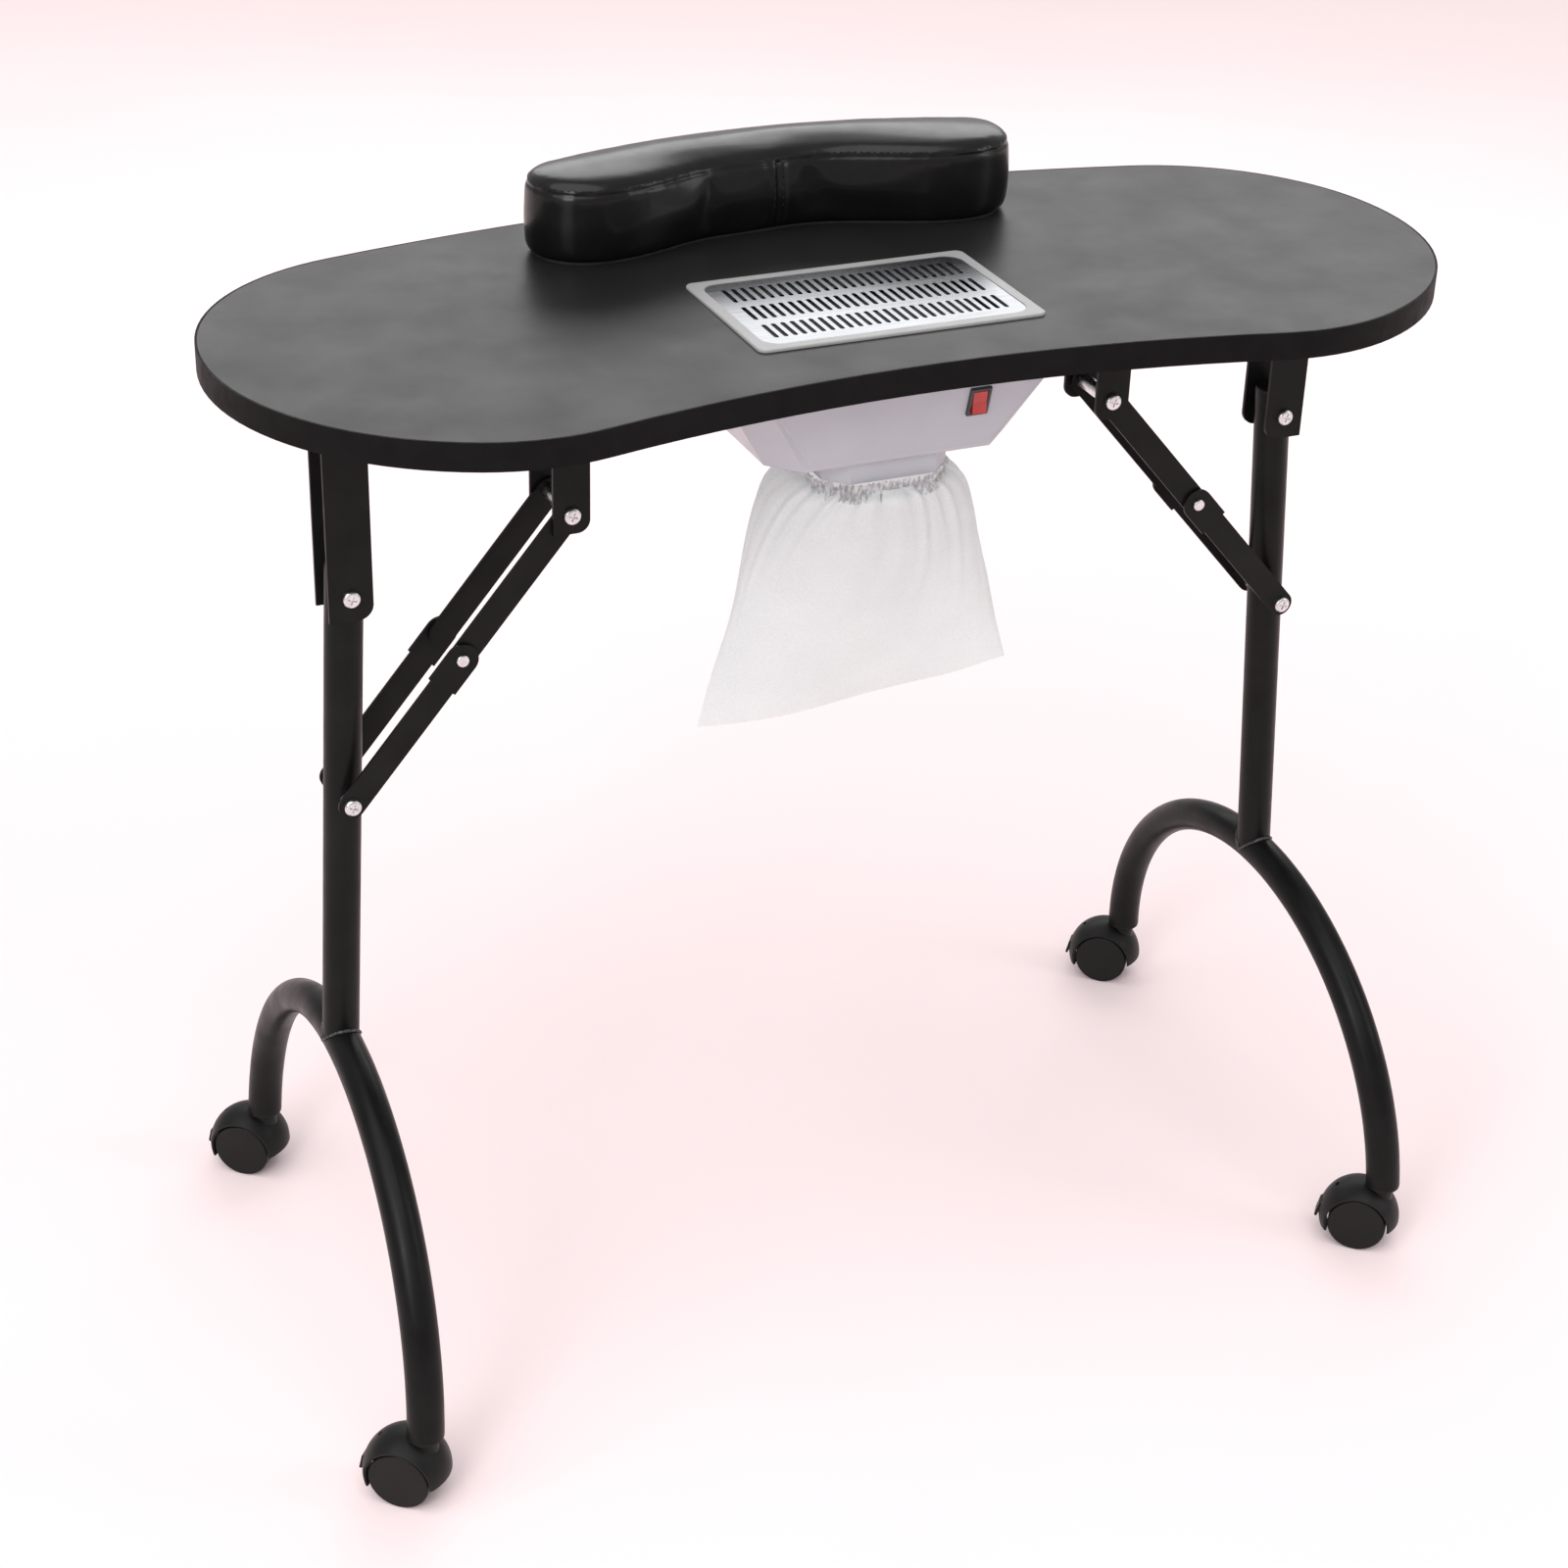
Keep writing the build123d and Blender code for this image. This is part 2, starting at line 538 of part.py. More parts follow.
def make_plugs(side):
    """Rounded plastic plugs: one in the top of the post and one in each foot."""
    inner = TUBE_R - TUBE_WALL
    cap = extrude(Circle(TUBE_R - 0.2), amount=2.4)
    cap = fillet(cap.edges().sort_by(Axis.Z)[-1], 1.5)
    top = Pos(0, 0, POST_ABOVE_PIVOT) * (cap + Pos(0, 0, -6) * extrude(Circle(inner - 0.05), amount=6))
    plugs = [leg_place(side) * top]
    for end in (-1, 1):
        x, y = stem_point(side, end)
        flange = Pos(0, 0, -2.6) * extrude(Circle(TUBE_R - 0.1), amount=2.6)
        flange = fillet(flange.edges().sort_by(Axis.Z)[0], 1.6)
        plug = flange + extrude(Circle(inner - PLUG_CLEARANCE), amount=PLUG_DEPTH)
        plug -= Cylinder(STEM_R, 60)
        plugs.append(Pos(x, y, FOOT_Z) * plug)
    return plugs


def make_stems(side):
    """Steel swivel pins of one leg's two casters, held in the foot plugs."""
    length = FOOT_Z + PLUG_DEPTH - STEM_BOTTOM_Z
    stems = []
    for end in (-1, 1):
        x, y = stem_point(side, end)
        stems.append(Pos(x, y, STEM_BOTTOM_Z + length / 2) * Cylinder(STEM_R, length))
    return stems


def make_low_bolt(side):
    """Bolt through the post at the brace's low end, with a spacer each side."""
    _, _, low = brace_points(side)
    bolt = through_bolt(low[0], low[1], LOWER_LINK_LAYER[1])
    spacer = rod_y(low[0], low[1], -LOWER_LINK_LAYER[0] + 0.3, -TUBE_R - 0.3, 5.2)
    spacer -= rod_y(low[0], low[1], -30, 0, BOLT_R)
    return [bolt] + both_sides(spacer)


# ---- braces -----------------------------------------------------------------------------
def make_upper_link(side):
    top, middle, _ = brace_points(side)
    outline = link_outline(top, middle, LINK_WIDTH, LINK_WIDTH)
    outline -= Pos(top[0], top[1]) * Circle(BOLT_R + RUNNING_GAP)
    return both_sides(plate_y(outline, UPPER_LINK_LAYER))


def make_lower_link(side):
    _, middle, low = brace_points(side)
    outline = link_outline(middle, low, LINK_HEAD_WIDTH, LINK_WIDTH)
    outline -= Pos(low[0], low[1]) * Circle(BOLT_R + RUNNING_GAP)
    outline -= Pos(middle[0], middle[1]) * Circle(2.6)
    return both_sides(plate_y(outline, LOWER_LINK_LAYER))


def make_rivets(side):
    """Domed rivets in the wide heads of the lower links."""
    _, middle, _ = brace_points(side)
    outer = LOWER_LINK_LAYER[1]
    rivet = rod_y(middle[0], middle[1], -outer, -LOWER_LINK_LAYER[0] - 0.05, 2.6)
    rivet += pan_head(middle[0], middle[1], -outer, 4.3, 2.2, recess=False)
    return both_sides(rivet)


def make_top_bolt(side):
    """Bolt through a brace bracket, with the sleeve that keeps its upper links apart."""
    top, _, _ = brace_points(side)
    reach = UPPER_LINK_LAYER[0] - 0.3
    sleeve = rod_y(top[0], top[1], -reach, reach, 5.2)
    sleeve -= rod_y(top[0], top[1], -reach - 1, reach + 1, BOLT_R)
    return [through_bolt(top[0], top[1], BRACE_PLATE[1]), sleeve]


# ---- casters ----------------------------------------------------------------------------
def caster_place(side, end):
    x, y = stem_point(side, end)
    return Pos(x, y, 0) * Rot(0, 0, CASTER_HEADING)


def make_hood():
    """Barrel-shaped hood over the axle, with a wheel pocket each side of its middle web."""
    rim = Line((HOOD_HALF_WIDTH, HOOD_RIM_R), (HOOD_HALF_WIDTH, 0))
    crown = ThreePointArc((-HOOD_HALF_WIDTH, HOOD_RIM_R), (0, HOOD_CROWN_R), (HOOD_HALF_WIDTH, HOOD_RIM_R))
    axis_line = Line((HOOD_HALF_WIDTH, 0), (-HOOD_HALF_WIDTH, 0))
    other_rim = Line((-HOOD_HALF_WIDTH, 0), (-HOOD_HALF_WIDTH, HOOD_RIM_R))
    barrel = revolve(make_face([crown, rim, axis_line, other_rim]), Axis.X)
    hood = Pos(TRAIL, 0, WHEEL_R) * Rot(0, 0, 90) * barrel
    boss_r, boss_top = STEM_BOSS
    boss = Pos(0, 0, WHEEL_R) * extrude(Circle(boss_r), amount=boss_top - WHEEL_R)
    hood += fillet(boss.edges().sort_by(Axis.Z)[-1], 1.5)
    for y in (-1, 1):
        outer = y * (HOOD_HALF_WIDTH + 1)
        hood -= rod_y(TRAIL, WHEEL_R, y * (WHEEL_INNER_Y - 0.7), outer, WHEEL_R + POCKET_GAP)
    drop, slope = HOOD_SKIRT
    below = Pos(0, 0, -30) * Box(100, 60, 60)
    hood -= Pos(TRAIL, 0, WHEEL_R - drop) * Rot(0, slope, 0) * below
    hood -= Pos(0, 0, STEM_BOTTOM_Z) * extrude(Circle(STEM_R + RUNNING_GAP), amount=40)
    hood -= rod_y(TRAIL, WHEEL_R, -9, 9, AXLE_R)
    u, z = LEVER_PIVOT
    hood -= Pos(u + 6, 0, z - 7) * Box(20, 2 * LEVER_HALF_WIDTH + 0.8, 25)
    hood -= rod_y(u, z, -LEVER_HALF_WIDTH - 3, LEVER_HALF_WIDTH + 3, LEVER_PIN_R)
    eye = Pos(0, 0, HOOD_CROWN_R - 4) * extrude(Ellipse(1.5, 2.2), amount=8)
    hood -= Pos(TRAIL, 0, WHEEL_R) * Rot(0, 39, 0) * eye
    return hood


def make_wheels():
    """Pair of wheels, one each side of the web, with softly rounded treads."""
    tyre = rod_y(TRAIL, WHEEL_R, WHEEL_INNER_Y, WHEEL_INNER_Y + WHEEL_WIDTH, WHEEL_R)
    tyre = fillet(tyre.edges().filter_by(GeomType.CIRCLE), 1.4)
    tyre -= rod_y(TRAIL, WHEEL_R, 0, WHEEL_INNER_Y + 7.4, AXLE_R + RUNNING_GAP)
    return both_sides(tyre)


def make_caster_pins():
    """Wheel axle and the brake lever's pin."""
    reach = WHEEL_INNER_Y + 7.0
    u, z = LEVER_PIVOT
    lever_reach = LEVER_HALF_WIDTH + 3
    lever_pin = rod_y(u, z, -lever_reach, lever_reach, LEVER_PIN_R)
    return [rod_y(TRAIL, WHEEL_R, -reach, reach, AXLE_R), lever_pin]


def make_lever():
    """Brake tab that hangs behind the hood, pivoted inside its notch."""
    u, z = LEVER_PIVOT
    tab = make_face(Polyline(
        (u - 1, z + 2.6), (u + 3.0, z + 2.8), (u + 5.5, z + 0.5), (u + 7.8, z - 9.8),
        (u + 6.0, z - 10.4), (u + 3.2, z - 3.0), (u - 1, z - 2.6), close=True,
    ))
    tab += Pos(u, z) * Circle(2.8)
    lever = extrude(Plane.XZ * tab, amount=LEVER_HALF_WIDTH, both=True)
    lever -= rod_y(u, z, -LEVER_HALF_WIDTH - 1, LEVER_HALF_WIDTH + 1, LEVER_PIN_R + RUNNING_GAP)
    return lever


# ---- assembly ---------------------------------------------------------------------------
def build():
    nodes = {}
    nodes["tabletop"], nodes["edge_band"] = make_tabletop()
    nodes["vent_frame"], nodes["vent_grille"] = make_vent()
    nodes["fan_housing"] = make_housing()
    nodes["fan_frame"], nodes["fan_motor"], nodes["fan_impeller"] = make_fan()
    nodes["switch_bezel"], nodes["switch_rocker"] = make_switch()
    nodes["power_inlet"] = make_inlet()
    nodes["dust_bag"] = make_bag()
    nodes["bag_elastic"] = make_elastic()
    nodes["wrist_rest_cushion"], nodes["wrist_rest_base"] = make_wrist_rest()
    screws = [wood_screw(x, y, UNDERSIDE - 3) for x, y in housing_screw_points()]
    for side, sign in SIDES.items():
        pivot = (sign * PIVOT_X, PIVOT_Z[side])
        top, _, _ = brace_points(side)
        nodes[f"pivot_bracket_{side}"] = bracket(
            pivot[0], pivot[1], PIVOT_BRACKET_WIDTH, BRACKET_PLATE, 16, sign
        )
        nodes[f"brace_bracket_{side}"] = bracket(
            top[0], top[1], BRACE_BRACKET_WIDTH, BRACE_PLATE, 13, sign
        )
        for x, width in ((pivot[0], PIVOT_BRACKET_WIDTH), (top[0], BRACE_BRACKET_WIDTH)):
            places = bracket_screw_points(x, width)
            screws += [wood_screw(*place, UNDERSIDE - FLANGE_THICKNESS) for place in places]
        nodes[f"pivot_bolt_{side}"] = through_bolt(*pivot, BRACKET_PLATE[1])
        nodes[f"brace_top_bolt_{side}"] = make_top_bolt(side)
        nodes[f"leg_post_{side}"], nodes[f"leg_arch_{side}"] = make_leg(side)
        nodes[f"tube_plugs_{side}"] = make_plugs(side)
        nodes[f"caster_stems_{side}"] = make_stems(side)
        nodes[f"brace_low_bolt_{side}"] = make_low_bolt(side)
        nodes[f"brace_upper_{side}"] = make_upper_link(side)
        nodes[f"brace_lower_{side}"] = make_lower_link(side)
        nodes[f"brace_rivets_{side}"] = make_rivets(side)
        for end, end_name in ((-1, "front"), (1, "back")):
            place = caster_place(side, end)
            name = f"{end_name}_{side}"
            nodes[f"caster_hood_{name}"] = place * make_hood()
            nodes[f"caster_wheels_{name}"] = [place * wheel for wheel in make_wheels()]
            nodes[f"caster_pins_{name}"] = [place * pin for pin in make_caster_pins()]
            nodes[f"brake_lever_{name}"] = place * make_lever()
    nodes["mounting_screws"] = screws
    return nodes


def as_compound(shape):
    """One labelled compound of a node's separate solids."""
    shapes = shape if isinstance(shape, list) else [shape]
    solids = [solid for each in shapes for solid in each.solids()]
    return Compound(children=solids)


NODES = {name: as_compound(shape) for name, shape in build().items()}
WHOLE = Compound(children=[node.moved(Location()) for node in NODES.values()]).bounding_box()
SHIFT_Y = -(WHOLE.min.Y + WHOLE.max.Y) / 2

os.makedirs("parts", exist_ok=True)
for name, node in NODES.items():
    export_step(node.moved(Location((0, SHIFT_Y, 0))), f"parts/{name}.step")
print("nodes", len(NODES), "shift_y", round(SHIFT_Y, 3), "box", WHOLE)
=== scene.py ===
import bpy
import json
import math
from mathutils import Matrix, Vector, noise
from mathutils.bvhtree import BVHTree


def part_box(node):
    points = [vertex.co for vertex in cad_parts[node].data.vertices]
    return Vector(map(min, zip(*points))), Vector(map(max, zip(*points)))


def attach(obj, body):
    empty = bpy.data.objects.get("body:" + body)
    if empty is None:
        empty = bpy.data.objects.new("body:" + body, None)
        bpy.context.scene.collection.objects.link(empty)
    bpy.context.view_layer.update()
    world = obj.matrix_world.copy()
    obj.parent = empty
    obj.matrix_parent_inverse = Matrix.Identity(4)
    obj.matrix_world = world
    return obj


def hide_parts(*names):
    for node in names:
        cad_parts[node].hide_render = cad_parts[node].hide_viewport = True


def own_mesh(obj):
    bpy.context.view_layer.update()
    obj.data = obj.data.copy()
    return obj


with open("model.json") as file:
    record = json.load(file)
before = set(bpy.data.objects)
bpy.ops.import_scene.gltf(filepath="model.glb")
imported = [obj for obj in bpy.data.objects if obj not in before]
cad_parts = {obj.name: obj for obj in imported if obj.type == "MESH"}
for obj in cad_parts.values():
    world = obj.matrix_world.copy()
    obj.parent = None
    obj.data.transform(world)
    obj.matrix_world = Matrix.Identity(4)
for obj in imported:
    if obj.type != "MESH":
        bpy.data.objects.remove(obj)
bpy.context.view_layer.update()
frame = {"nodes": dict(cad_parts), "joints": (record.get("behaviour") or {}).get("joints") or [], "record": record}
NODES = frame["nodes"]
MM = 0.001

# ---- places read from the frame ---------------------------------------------------------
TOP_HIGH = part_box("tabletop")[1]
POST_LOW, POST_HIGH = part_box("leg_post_left")
POST_Y = (POST_LOW.y + POST_HIGH.y) / 2
TUBE_R = (POST_HIGH.y - POST_LOW.y) / 2
REST_LOW, REST_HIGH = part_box("wrist_rest_cushion")
BAG_LOW, BAG_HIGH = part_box("dust_bag")
HEM_LOW, HEM_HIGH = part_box("bag_elastic")

# ---- view -------------------------------------------------------------------------------
CAMERA_PLACE = (-0.8076, -1.6968, 0.6845)    # from the post plane, and above the writing surface
CAMERA_YAW = 24.62
CAMERA_PITCH = 29.32
CAMERA_ROLL = 1.86
CAMERA_LENS = 70.39
CAMERA_SENSOR = 36.0


def make_camera():
    """Camera turned yaw to the right of +Y, tipped down by pitch, then rolled."""
    yaw, pitch, roll = (math.radians(a) for a in (CAMERA_YAW, CAMERA_PITCH, CAMERA_ROLL))
    ahead = Vector((math.sin(yaw) * math.cos(pitch), math.cos(yaw) * math.cos(pitch), -math.sin(pitch)))
    right = Vector((math.cos(yaw), -math.sin(yaw), 0))
    up = right.cross(ahead)
    x_axis = math.cos(roll) * right + math.sin(roll) * up
    y_axis = -math.sin(roll) * right + math.cos(roll) * up
    data = bpy.data.cameras.new("camera")
    data.lens = CAMERA_LENS
    data.sensor_width = CAMERA_SENSOR
    data.clip_end = 50
    camera = bpy.data.objects.new("camera", data)
    turn = Matrix((x_axis, y_axis, -ahead)).transposed().to_4x4()
    place = Vector(CAMERA_PLACE) + Vector((0, POST_Y, TOP_HIGH.z))
    camera.matrix_world = Matrix.Translation(place) @ turn
    bpy.context.scene.collection.objects.link(camera)
    bpy.context.scene.camera = camera


def area_light(name, place, target, size, power):
    data = bpy.data.lights.new(name, "AREA")
    data.shape = "RECTANGLE"
    data.size, data.size_y = size
    data.energy = power
    light = bpy.data.objects.new(name, data)
    aim = Vector(target) - Vector(place)
    light.matrix_world = Matrix.Translation(place) @ aim.to_track_quat("-Z", "Y").to_matrix().to_4x4()
    bpy.context.scene.collection.objects.link(light)


def make_studio():
    """Pale floor, an even pale surround, a wide high light and three softboxes."""
    world = bpy.data.worlds.new("surround")
    world.use_nodes = True
    back = world.node_tree.nodes["Background"]
    back.inputs["Color"].default_value = (1.0, 0.97, 0.972, 1)
    back.inputs["Strength"].default_value = 0.50
    bpy.context.scene.world = world
    bpy.context.scene.view_settings.view_transform = "Standard"
    sky = bpy.data.lights.new("overhead", "SUN")
    sky.energy = 1.75
    sky.angle = math.radians(70)
    overhead = bpy.data.objects.new("overhead", sky)
    overhead.rotation_euler = (math.radians(18), math.radians(-22), 0)
    bpy.context.scene.collection.objects.link(overhead)
    area_light("key", (-1.7, -1.5, 1.5), (0, 0, 0.6), (0.7, 1.3), 16)
    area_light("fill", (1.9, -1.3, 1.5), (0, 0, 0.6), (0.7, 1.3), 7)
    area_light("rim", (1.1, 2.4, 1.96), (0, 0, 0.7), (3.4, 1.02), 26)
    floor = grid_object("floor", [[(-9, -9, 0), (9, -9, 0)], [(-9, 9, 0), (9, 9, 0)]], floor_material())


# ---- mesh helpers -----------------------------------------------------------------------
def new_object(name, vertices, faces, material):
    mesh = bpy.data.meshes.new(name)
    mesh.from_pydata([tuple(v) for v in vertices], [], faces)
    mesh.update()
    mesh.polygons.foreach_set("use_smooth", [True] * len(mesh.polygons))
    mesh.materials.append(material)
    piece = bpy.data.objects.new(name, mesh)
    bpy.context.scene.collection.objects.link(piece)
    return piece


def grid_faces(rows, columns, closed):
    """Quads of a grid of points, its columns joined round where closed."""
    faces = []
    last = columns if closed else columns - 1
    for r in range(rows - 1):
        for c in range(last):
            d = (c + 1) % columns
            faces.append((r * columns + c, r * columns + d, (r + 1) * columns + d, (r + 1) * columns + c))
    return faces


def grid_object(name, rows, material, closed=False):
    points = [p for row in rows for p in row]
    return new_object(name, points, grid_faces(len(rows), len(rows[0]), closed), material)


def apply_modifier(piece, modifier):
    bpy.context.view_layer.objects.active = piece
    with bpy.context.temp_override(object=piece, active_object=piece):
        bpy.ops.object.modifier_apply(modifier=modifier.name)


def surface_tree(piece):
    """Tree of a mesh's faces, to cast rays on to."""
    mesh = piece.data
    return BVHTree.FromPolygons([v.co for v in mesh.vertices], [p.vertices for p in mesh.polygons])


def smooth_step(a, b, x):
    t = min(1.0, max(0.0, (x - a) / (b - a)))
    return t * t * (3 - 2 * t)


# ---- materials --------------------------------------------------------------------------
class Nodes:
    """Short hand for one material's node tree."""

    def __init__(self, name):
        self.material = bpy.data.materials.new(name)
        self.material.use_nodes = True
        self.tree = self.material.node_tree
        self.shader = self.tree.nodes["Principled BSDF"]
        self.output = self.tree.nodes["Material Output"]
        self.coords = self.tree.nodes.new("ShaderNodeTexCoord")

    def add(self, kind, **settings):
        node = self.tree.nodes.new(kind)
        for key, value in settings.items():
            if hasattr(node, key):
                setattr(node, key, value)
            else:
                node.inputs[key.replace("_", " ")].default_value = value
        return node

    def link(self, source, target):
        self.tree.links.new(source, target)

    def mapping(self, scale):
        node = self.add("ShaderNodeMapping")
        node.inputs["Scale"].default_value = scale
        self.link(self.coords.outputs["Object"], node.inputs["Vector"])
        return node.outputs["Vector"]

    def noise(self, scale, detail=3.0, roughness=0.5, stretch=(1, 1, 1)):
        node = self.add("ShaderNodeTexNoise")
        node.inputs["Scale"].default_value = scale
        node.inputs["Detail"].default_value = detail
        node.inputs["Roughness"].default_value = roughness
        self.link(self.mapping(stretch), node.inputs["Vector"])
        return node.outputs["Fac"]

    def voronoi(self, scale):
        node = self.add("ShaderNodeTexVoronoi", feature="F1")
        node.inputs["Scale"].default_value = scale
        self.link(self.mapping((1, 1, 1)), node.inputs["Vector"])
        return node.outputs["Distance"]

    def ramp(self, source, stops):
        """Colour ramp; each stop is a place and a grey level or colour."""
        node = self.add("ShaderNodeValToRGB")
        elements = node.color_ramp.elements
        while len(elements) < len(stops):
            elements.new(0.5)
        for element, (place, colour) in zip(elements, stops):
            element.position = place
            if not hasattr(colour, "__len__"):
                colour = (colour, colour, colour)
            element.color = (*colour, 1)
        self.link(source, node.inputs["Fac"])
        return node.outputs["Color"]

    def colour(self, source, stops):
        self.link(self.ramp(source, stops), self.shader.inputs["Base Color"])

    def rough(self, source, low, high):
        self.link(self.ramp(source, [(0.3, low), (0.7, high)]), self.shader.inputs["Roughness"])

    def bump(self, heights):
        """Chain of bumps; each is a height source, strength and depth in metres."""
        normal = None
        for source, strength, depth in heights:
            node = self.add("ShaderNodeBump")
            node.inputs["Strength"].default_value = strength
            node.inputs["Distance"].default_value = depth
            self.link(source, node.inputs["Height"])
            if normal is not None:
                self.link(normal, node.inputs["Normal"])
            normal = node.outputs["Normal"]
        self.link(normal, self.shader.inputs["Normal"])

    def set(self, **values):
        for key, value in values.items():
            self.shader.inputs[key.replace("_", " ")].default_value = value


def floor_material():
    n = Nodes("floor")
    n.colour(n.noise(2.0), [(0.3, (0.95, 0.80, 0.81)), (0.7, (0.97, 0.82, 0.83))])
    n.set(Roughness=0.9)
    return n.material


def laminate_material():
    """Matte black melamine: a fine pebble grain, faint clouding and hair-fine wipe marks."""
    n = Nodes("laminate")
    cloud = n.noise(9.0, 4)
    n.colour(cloud, [(0.25, 0.009), (0.75, 0.014)])
    n.rough(n.noise(22.0, 5, 0.6), 0.34, 0.42)
    n.bump([(n.voronoi(1100.0), 0.15, 0.00008), (n.noise(420.0, 2, 0.5, (1, 9, 1)), 0.05, 0.0001)])
    n.set(Specular_IOR_Level=0.25)
    return n.material


def edge_band_material():
    n = Nodes("edge_band")
    n.colour(n.noise(60.0, 4), [(0.3, 0.003), (0.7, 0.005)])
    n.rough(n.noise(90.0, 4), 0.5, 0.62)
    n.bump([(n.noise(700.0, 2, 0.5, (1, 1, 0.08)), 0.2, 0.0001)])
    n.set(Specular_IOR_Level=0.10)
    return n.material


def paint_material(name, low, high, rough_low, rough_high):
    """Satin black powder coat with a slight orange peel."""
    n = Nodes(name)
    n.colour(n.noise(35.0, 5), [(0.3, low), (0.7, high)])
    n.rough(n.noise(60.0, 4), rough_low, rough_high)
    n.bump([(n.noise(850.0, 2), 0.22, 0.00012), (n.noise(120.0, 2), 0.06, 0.0003)])
    n.set(Specular_IOR_Level=0.12, Coat_Weight=0.03, Coat_Roughness=0.25)
    return n.material


def zinc_material():
    """Bright zinc plate: faintly blue, with fine turning marks and dull spots."""
    n = Nodes("zinc")
    n.colour(n.noise(160.0, 4), [(0.3, (0.60, 0.61, 0.63)), (0.7, (0.80, 0.81, 0.82))])
    n.rough(n.noise(240.0, 4), 0.18, 0.36)
    n.bump([(n.noise(1500.0, 2), 0.15, 0.0001)])
    n.set(Metallic=1.0)
    return n.material


def steel_sheet_material():
    """Polished stainless sheet with a faint brushed grain along its length."""
    n = Nodes("grille_steel")
    n.colour(n.noise(50.0, 4, 0.6, (0.3, 6, 1)), [(0.3, (0.27, 0.28, 0.295)), (0.7, (0.32, 0.33, 0.345))])
    n.rough(n.noise(70.0, 4, 0.6, (0.3, 8, 1)), 0.19, 0.25)
    n.bump([(n.noise(30.0, 2, 0.5, (0.3, 2, 1)), 0.02, 0.0001)])
    n.set(Metallic=1.0)
    return n.material


def moulded_material(name, low, high, rough_low, rough_high, coat=0.0, subsurface=0.0, shine=0.5):
    """Moulded plastic: faint flow clouding and a fine spark texture."""
    n = Nodes(name)
    n.colour(n.noise(14.0, 4), [(0.3, low), (0.7, high)])
    n.rough(n.noise(45.0, 4), rough_low, rough_high)
    n.bump([(n.noise(1300.0, 2), 0.18, 0.00008), (n.noise(18.0, 2), 0.08, 0.0006)])
    n.set(Specular_IOR_Level=shine, Coat_Weight=coat, Coat_Roughness=0.12)
    if subsurface:
        n.set(Subsurface_Weight=subsurface, Subsurface_Scale=0.002)
    return n.material


def rocker_material():
    n = Nodes("rocker_red")
    n.colour(n.noise(120.0, 3), [(0.3, (0.42, 0.006, 0.006)), (0.7, (0.58, 0.012, 0.010))])
    n.rough(n.noise(200.0, 3), 0.14, 0.24)
    n.bump([(n.noise(400.0, 2), 0.05, 0.0001)])
    n.set(Coat_Weight=0.6, Coat_Roughness=0.08)
    return n.material


def wood_board_material():
    """Black stained board with an open grain along its length."""
    n = Nodes("rest_board")
    grain = n.noise(60.0, 6, 0.6, (0.2, 5, 1))
    n.colour(grain, [(0.3, (0.006, 0.005, 0.005)), (0.7, (0.020, 0.017, 0.015))])
    n.rough(n.noise(80.0, 4), 0.55, 0.75)
    n.bump([(n.noise(300.0, 4, 0.6, (0.2, 5, 1)), 0.25, 0.0002)])
    return n.material


def leather_material():
    """Glossy black leatherette: a fine grain, soft creasing and a satin top coat."""
    n = Nodes("leather")
    n.colour(n.noise(24.0, 5), [(0.3, 0.002), (0.7, 0.004)])
    n.rough(n.noise(55.0, 5, 0.6), 0.28, 0.38)
    n.bump([
        (n.noise(900.0, 2, 0.5), 0.10, 0.00012),
        (n.noise(160.0, 4, 0.6), 0.10, 0.0004),
        (n.noise(38.0, 3, 0.55), 0.10, 0.0012),
    ])
    n.set(Specular_IOR_Level=0.20, Coat_Weight=0.32, Coat_Roughness=0.15)
    return n.material


def thread_material():
    n = Nodes("thread")
    n.colour(n.noise(900.0, 2), [(0.3, 0.003), (0.7, 0.010)])
    n.bump([(n.noise(2600.0, 2, 0.5, (1, 1, 3)), 0.5, 0.0001)])
    n.set(Roughness=0.5, Specular_IOR_Level=0.3)
    return n.material


def bag_material(name, opacity, shades):
    """Sheer white non-woven cloth: fine tangled fibres, lit through from behind."""
    n = Nodes(name)
    fibres = n.noise(900.0, 5, 0.65)
    # Colour from the given stops; for the hem these stops paint shade into its crinkles as dark grey streaks.
    n.colour(n.noise(*shades[0]), shades[1])
    n.set(Roughness=0.75, Sheen_Weight=0.25, Transmission_Weight=0.0)
    n.bump([(fibres, 0.35, 0.0003), (n.noise(60.0, 4), 0.18, 0.002)])
    glow = n.add("ShaderNodeBsdfTranslucent")
    glow.inputs["Color"].default_value = (0.93, 0.94, 0.94, 1)
    clear = n.add("ShaderNodeBsdfTransparent")
    through = n.add("ShaderNodeMixShader")
    through.inputs["Fac"].default_value = 0.45
    n.link(n.shader.outputs["BSDF"], through.inputs[1])
    n.link(glow.outputs["BSDF"], through.inputs[2])
    sheer = n.add("ShaderNodeMixShader")
    n.link(n.ramp(fibres, [(0.30, opacity - 0.12), (0.62, opacity)]), sheer.inputs["Fac"])
    n.link(clear.outputs["BSDF"], sheer.inputs[1])
    n.link(through.outputs["Shader"], sheer.inputs[2])
    n.link(sheer.outputs["Shader"], n.output.inputs["Surface"])
    return n.material


def weld_material():
    n = Nodes("weld")
    n.colour(n.noise(300.0, 4), [(0.35, 0.02), (0.75, (0.10, 0.10, 0.11))])
    n.rough(n.noise(500.0, 3), 0.3, 0.5)
    n.bump([(n.noise(900.0, 3), 0.5, 0.0003)])
    n.set(Metallic=0.4)
    return n.material


